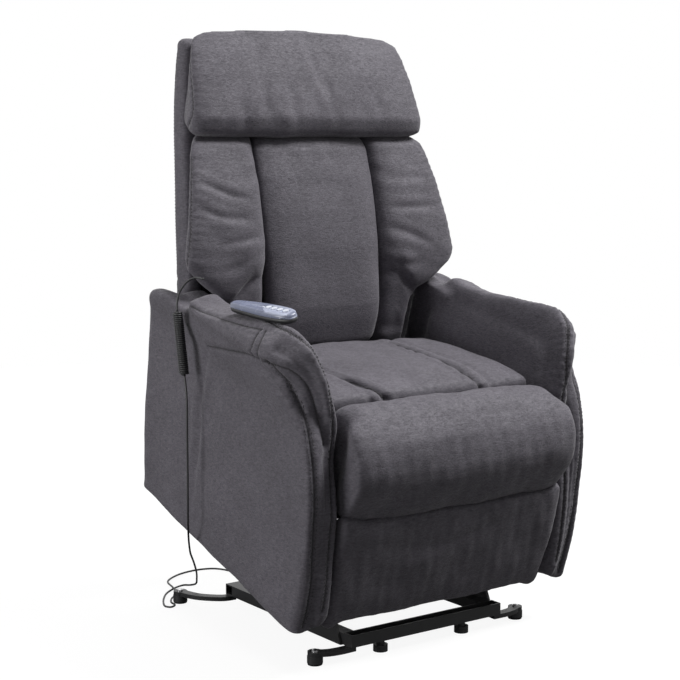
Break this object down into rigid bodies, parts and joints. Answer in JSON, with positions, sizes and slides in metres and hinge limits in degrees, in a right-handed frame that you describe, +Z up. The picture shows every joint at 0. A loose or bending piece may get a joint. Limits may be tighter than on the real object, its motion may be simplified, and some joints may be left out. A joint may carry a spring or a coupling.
{
  "type": "lift_recliner_chair",
  "caption": "Powered lift recliner chair in grey leather-look cover, partly lifted, on a black steel lift base, with a wired handset on the left arm",
  "frame": {"origin": "middle of the chair's width and depth, on the floor; the free cord is left out of the middle", "axes": "+X to the sitter's left, +Y to the back of the chair, +Z up; the chair faces -Y"},
  "size_m": [0.8436, 0.9697, 1.3444],
  "materials": {
    "grey_fabric": "brushed microfibre cover with a fine leather grain, matt",
    "black_steel": "satin black powder coat",
    "bright_steel": "zinc-plated, slightly brushed",
    "black_plastic": "fine-grained moulded plastic",
    "cord_rubber": "smooth soft rubber jacket",
    "handset_plastic": "silky blue-grey plastic",
    "button_plastic": "pale silver plastic",
    "board_wood": "raw plywood"
  },
  "bodies": {
    "base": {"base_side_rails": "black_steel", "base_front_bar": "black_steel", "base_rear_bar": "black_steel", "base_pivot_brackets": "black_steel", "foot_arms": "black_steel", "foot_pads": "black_plastic", "front_glides": "black_plastic", "base_screws": "bright_steel", "front_link_pins": "bright_steel", "lift_actuator_clevis": "black_steel"},
    "rear_links": {"rear_lift_links": "black_steel", "lift_torque_tube": "black_steel"},
    "front_links": {"front_lift_links": "black_steel"},
    "lift_actuator": {"lift_motor": "black_plastic", "lift_tube": "black_steel"},
    "lift_rod": {"lift_rod": "bright_steel"},
    "chassis": {"chassis_plates": "black_steel", "chassis_pins": "bright_steel", "seat_rails": "black_steel", "seat_springs": "bright_steel", "arm_brackets": "black_steel", "left_arm_frame": "grey_fabric", "right_arm_frame": "grey_fabric", "left_side_panel": "grey_fabric", "right_side_panel": "grey_fabric", "left_arm_pad": "grey_fabric", "right_arm_pad": "grey_fabric", "rear_panel": "grey_fabric", "seat_cushion": "grey_fabric", "seat_front_roll": "grey_fabric", "control_box": "black_plastic", "recline_motor": "black_plastic", "recline_track": "black_steel", "handset_base": "black_plastic", "handset_cover": "handset_plastic", "cord_gland": "black_plastic", "handset_lead": "cord_rubber", "handset_coil": "cord_rubber", "handset_cord": "cord_rubber"},
    "carriage": {"recline_carriage": "bright_steel"},
    "back": {"back_shell": "grey_fabric", "back_frame": "black_steel", "back_hinge_brackets": "black_steel", "headrest_cushion": "grey_fabric", "back_centre_cushion": "grey_fabric", "back_left_wing": "grey_fabric", "back_right_wing": "grey_fabric"},
    "foot_drive": {"footrest_drive_links": "black_steel"},
    "foot_upper": {"footrest_upper_links": "black_steel"},
    "footboard": {"footrest_brackets": "black_steel", "footrest_board": "board_wood", "footrest_pad": "grey_fabric"},
    "button_a": {"handset_buttons_a": "button_plastic"},
    "button_b": {"handset_buttons_b": "button_plastic"},
    "button_c": {"handset_buttons_c": "button_plastic"},
    "button_d": {"handset_buttons_d": "button_plastic"}
  },
  "joints": [
    {"name": "lift", "type": "hinge", "parent": "base", "child": "rear_links", "pos_m": [0, -0.0662, 0.078], "axis": [1, 0, 0], "range_deg": [-30.8, 15], "deforming": ["handset_cord"]},
    {"name": "chassis_tilt", "type": "hinge", "parent": "rear_links", "child": "chassis", "pos_m": [0, 0.2418, 0.31075], "axis": [1, 0, 0], "range_deg": [-6.53, 13.4]},
    {"name": "front_link_swing", "type": "hinge", "parent": "base", "child": "front_links", "pos_m": [0, -0.1542, 0.08], "axis": [1, 0, 0], "range_deg": [-38.43, 18.71]},
    {"name": "lift_motor_swing", "type": "hinge", "parent": "base", "child": "lift_actuator", "pos_m": [0, 0.2588, 0.092], "axis": [1, 0, 0], "range_deg": [-3.7, 1.8]},
    {"name": "lift_rod_slide", "type": "slide", "parent": "lift_actuator", "child": "lift_rod", "axis": [0, -0.9761, 0.2173], "range_m": [-0.04784, 0.0233]},
    {"name": "back_recline", "type": "hinge", "parent": "chassis", "child": "back", "pos_m": [0, 0.22042, 0.59154], "axis": [-1, 0, 0], "range_deg": [0, 38]},
    {"name": "footrest", "type": "hinge", "parent": "chassis", "child": "foot_drive", "pos_m": [0, -0.16875, 0.33088], "axis": [-1, 0, 0], "range_deg": [0, 150]},
    {"name": "foot_knee", "type": "hinge", "parent": "foot_drive", "child": "foot_upper", "pos_m": [0, -0.01892, 0.32516], "axis": [-1, 0, 0], "range_deg": [-117.4, 0]},
    {"name": "foot_tilt", "type": "hinge", "parent": "foot_upper", "child": "footboard", "pos_m": [0, -0.20672, 0.25578], "axis": [-1, 0, 0], "range_deg": [0, 57.41]},
    {"name": "recline_drive", "type": "slide", "parent": "chassis", "child": "carriage", "axis": [0, 0.9527, 0.304], "range_m": [0, 0.09739]},
    {"name": "button_1", "type": "slide", "parent": "chassis", "child": "button_a", "axis": [0.2419, 0.1132, -0.9637], "range_m": [0, 0.0012], "stiffness_N_per_m": 300},
    {"name": "button_2", "type": "slide", "parent": "chassis", "child": "button_b", "axis": [0.2419, 0.1132, -0.9637], "range_m": [0, 0.0012], "stiffness_N_per_m": 300},
    {"name": "button_3", "type": "slide", "parent": "chassis", "child": "button_c", "axis": [0.2419, 0.1132, -0.9637], "range_m": [0, 0.0012], "stiffness_N_per_m": 300},
    {"name": "button_4", "type": "slide", "parent": "chassis", "child": "button_d", "axis": [0.2419, 0.1132, -0.9637], "range_m": [0, 0.0012], "stiffness_N_per_m": 300}
  ],
  "couplings": [
    {"joint": "chassis_tilt", "follows": "lift", "ratio": -0.4351},
    {"joint": "front_link_swing", "follows": "lift", "ratio": 1.2476},
    {"joint": "lift_motor_swing", "follows": "lift", "ratio": 0.1201},
    {"joint": "lift_rod_slide", "follows": "lift", "m_per_rad": 0.089},
    {"joint": "foot_knee", "follows": "footrest", "ratio": -0.7827},
    {"joint": "foot_tilt", "follows": "footrest", "ratio": 0.3827},
    {"joint": "recline_drive", "follows": "footrest", "m_per_rad": 0.0372}
  ]
}
